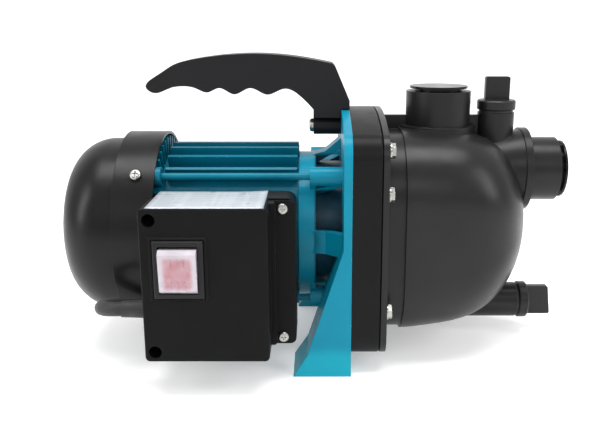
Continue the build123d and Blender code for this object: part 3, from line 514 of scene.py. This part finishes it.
finish("teal_housing", enamel, (0.0008, 0.122, 0.190), 0.34)
# The bracket gets a painted highlight low on its feet and painted shade on its inner face round the
# shaft.
finish(
    "teal_bracket", enamel, (0.0008, 0.200, 0.300), 0.34,
    lit_foot=(0.006, 0.29, 0.39), lit_foot_heights=(0.012, 0.021), hollow_shade=(0.004, 0.010, 0.022),
)
finish("teal_bolts", enamel, (0.001, 0.150, 0.225), 0.32)
finish("hood_black", plastic, (0.0065, 0.0065, 0.0068), 0.31, specular=0.19)
finish("zinc_screws", metal, (0.36, 0.36, 0.34), 0.27)
finish("lamination", laminated, (0.35, 0.35, 0.36))
finish("copper_winding", wound, (0.60, 0.24, 0.09))
finish("shaft_steel", metal, (0.60, 0.60, 0.61), 0.25, stretch=(1, 0.05, 0.05))
finish("bearing_steel", metal, (0.66, 0.66, 0.67), 0.16)
finish("fan_plastic", plastic, (0.03, 0.03, 0.03), 0.5)
finish("seal_rubber", rubbery, (0.012, 0.012, 0.012), 0.62)
finish("seal_ceramic", plastic, (0.78, 0.77, 0.73), 0.25, wear=1.6, patch=0.04)
finish("seal_carbon", plastic, (0.03, 0.03, 0.033), 0.3)
finish("cover_plastic", plastic, (0.0055, 0.0055, 0.0058), 0.40, specular=0.11)
finish("wet_plastic", plastic, (0.07, 0.07, 0.08), 0.45)
finish("casing_plastic", plastic, (0.0110, 0.0110, 0.0112), 0.32, specular=0.22)
finish("cap_plastic", plastic, (0.005, 0.005, 0.005), 0.22, specular=0.2)
finish("plug_plastic", plastic, (0.0080, 0.0080, 0.0082), 0.36)
finish("handle_plastic", plastic, (0.0095, 0.0095, 0.0105), 0.42, specular=0.16)
finish("box_plastic", plastic, (0.0048, 0.0048, 0.0052), 0.42, grain=1800, depth=0.00006, specular=0.08)
finish("label_film", label_film)
finish("switch_plastic", plastic, (0.0085, 0.0085, 0.009), 0.36, specular=0.2)
finish("rocker_clear", rocker_plastic)
finish("capacitor_can", plastic, (0.6, 0.6, 0.58), 0.3, wear=1.6, patch=0.05)
finish("terminal_plastic", plastic, (0.68, 0.65, 0.55), 0.45, wear=1.6, patch=0.05)
finish("cord_rubber", rubbery, (0.012, 0.012, 0.0125), 0.55)
finish("plug_rubber", rubbery, (0.016, 0.016, 0.0165), 0.5)
finish("pin_nickel", metal, (0.74, 0.72, 0.67), 0.18)

for part in frame["record"]["subparts"]:
    mesh = nodes[part["node"]].data
    mesh.materials.clear()
    mesh.materials.append(FINISHES[part["material_slot"]])
lead.data.materials.append(FINISHES["cord_rubber"])
label.data.materials.append(FINISHES["label_film"])


# ---- floor and light ----

FLOOR_FRONT, FLOOR_BACK = -9.0, 1.4
FLOOR_HALF = 8
SWEEP_R = 0.8
SWEEP_STEPS = 12
WALL_TOP = 4.0


def make_floor():
    """A pale floor that sweeps up into a wall behind the pump."""
    data = bpy.data.meshes.new("floor")
    bm = bmesh.new()
    rows = [(FLOOR_FRONT, 0.0), (FLOOR_BACK, 0.0)]
    for k in range(1, SWEEP_STEPS + 1):
        a = math.pi / 2 * k / SWEEP_STEPS
        rows.append((FLOOR_BACK + SWEEP_R * math.sin(a), SWEEP_R - SWEEP_R * math.cos(a)))
    rows.append((FLOOR_BACK + SWEEP_R, WALL_TOP))
    grid = [[bm.verts.new((x, y, z)) for x in (-FLOOR_HALF, FLOOR_HALF)] for y, z in rows]
    for a, b in zip(grid, grid[1:]):
        bm.faces.new((a[0], a[1], b[1], b[0]))
    bm.to_mesh(data)
    bm.free()
    for face in data.polygons:
        face.use_smooth = True
    floor = bpy.data.objects.new("floor", data)
    scene.collection.objects.link(floor)
    m = Mat("floor_paper", (0.88, 0.88, 0.88), 0.6)
    m.color_out = m.ramp(m.noise(3, 2), [(0.3, (0.87, 0.87, 0.87)), (0.7, (0.89, 0.89, 0.89))])
    m.bump(m.noise(400, 2), 0.05, 0.0001)
    m.bsdf.inputs["Emission Color"].default_value = (1, 1, 1, 1)
    m.bsdf.inputs["Emission Strength"].default_value = 0.32
    data.materials.append(m.finish())


PUMP_MIDDLE = (0, 0, 0.09)
WORLD_STRENGTH = 0.55


def soft_light(name, place, size, power):
    """A plain rectangular lamp that faces the pump."""
    data = bpy.data.lights.new(name, "AREA")
    data.shape = "RECTANGLE"
    data.size, data.size_y = size
    data.energy = power
    light = bpy.data.objects.new(name, data)
    light.location = place
    aim = Vector(PUMP_MIDDLE) - Vector(place)
    light.rotation_euler = aim.to_track_quat("-Z", "Y").to_euler()
    scene.collection.objects.link(light)


make_floor()
soft_light("top", (0.0, -0.1, 1.3), (1.2, 0.5), 17)
soft_light("left", (-1.3, -0.7, 0.75), (0.35, 1.1), 10)
soft_light("right", (1.3, -0.6, 0.8), (0.35, 1.0), 9)
soft_light("front", (0.1, -1.9, 1.1), (1.2, 0.5), 6)
world = bpy.data.worlds.new("world")
world.use_nodes = True
background = world.node_tree.nodes["Background"]
background.inputs[0].default_value = (1, 1, 1, 1)
background.inputs[1].default_value = WORLD_STRENGTH
scene.world = world
scene.view_settings.view_transform = "Standard"

bpy.context.view_layer.update()
